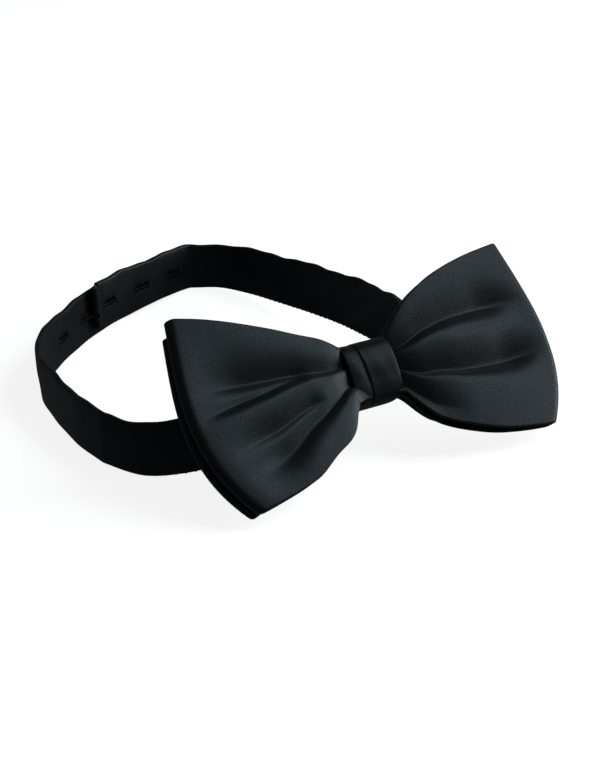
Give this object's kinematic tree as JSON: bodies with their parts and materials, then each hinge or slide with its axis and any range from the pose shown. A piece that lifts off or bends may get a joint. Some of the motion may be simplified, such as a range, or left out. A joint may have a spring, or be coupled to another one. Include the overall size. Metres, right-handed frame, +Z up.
{
  "type": "bow tie",
  "caption": "Black satin ready-tied bow tie with two pleated double wings, a wrapped knot and an adjustable neckband that closes with a T-hook in stitched slits.",
  "frame": {"origin": "middle of the footprint, on the table that the tie lies on", "axes": "+Z up, +Y from the bow back through the neckband loop, +X towards the wing on the viewer's right"},
  "size_m": [0.1342, 0.1694, 0.0506],
  "materials": {
    "satin": "black polyester satin with a fine grainy weave, bright blue-grey sheen where light grazes it",
    "stiffener": "white needled interlining, matt",
    "thread": "black polyester sewing thread",
    "hook_metal": "nickel-plated steel, lightly rubbed"
  },
  "bodies": {
    "knot": {"gathered_waist": "satin", "gathering_thread": "thread", "knot_wrap": "satin", "knot_closing_stitches": "thread", "left_strap": "satin", "left_strap_stiffener": "stiffener", "right_strap": "satin", "right_strap_stiffener": "stiffener", "strap_anchor_stitches": "thread"},
    "left_wing": {"left_wing_front": "satin", "left_wing_back": "satin", "left_front_stiffener": "stiffener", "left_back_stiffener": "stiffener"},
    "right_wing": {"right_wing_front": "satin", "right_wing_back": "satin", "right_front_stiffener": "stiffener", "right_back_stiffener": "stiffener"},
    "slotted_end": {"slotted_strap_end": "satin", "slotted_end_stiffener": "stiffener", "slotted_end_slit_stitching": "thread"},
    "hook_end": {"hook_strap_end": "satin", "hook_end_stiffener": "stiffener", "hook_end_slit_stitching": "thread", "hook_loop": "satin", "hook_loop_stitches": "thread"},
    "hook": {"t_hook": "hook_metal"}
  },
  "joints": [
    {"name": "left_wing_flex", "type": "hinge", "parent": "knot", "child": "left_wing", "pos_m": [-0.0039, -0.0579, 0.0256], "axis": [0, 0.682, 0.7314], "range_deg": [-3, 12], "stiffness_Nm_per_rad": 0.05},
    {"name": "right_wing_flex", "type": "hinge", "parent": "knot", "child": "right_wing", "pos_m": [0.0131, -0.0579, 0.0256], "axis": [0, -0.682, -0.7314], "range_deg": [-3, 12], "stiffness_Nm_per_rad": 0.05},
    {"name": "slotted_end_open", "type": "hinge", "parent": "knot", "child": "slotted_end", "pos_m": [-0.0648, -0.0233, 0.0083], "axis": [0, 0, 1], "range_deg": [0, 35]},
    {"name": "hook_end_open", "type": "hinge", "parent": "knot", "child": "hook_end", "pos_m": [0.0232, 0.0831, 0.009], "axis": [0, 0, 1], "range_deg": [0, 35]},
    {"name": "hook_swing", "type": "hinge", "parent": "hook_end", "child": "hook", "pos_m": [-0.02551, 0.06177, 0.01126], "axis": [0.026, -0.0454, -0.9986], "range_deg": [0, 20]}
  ]
}
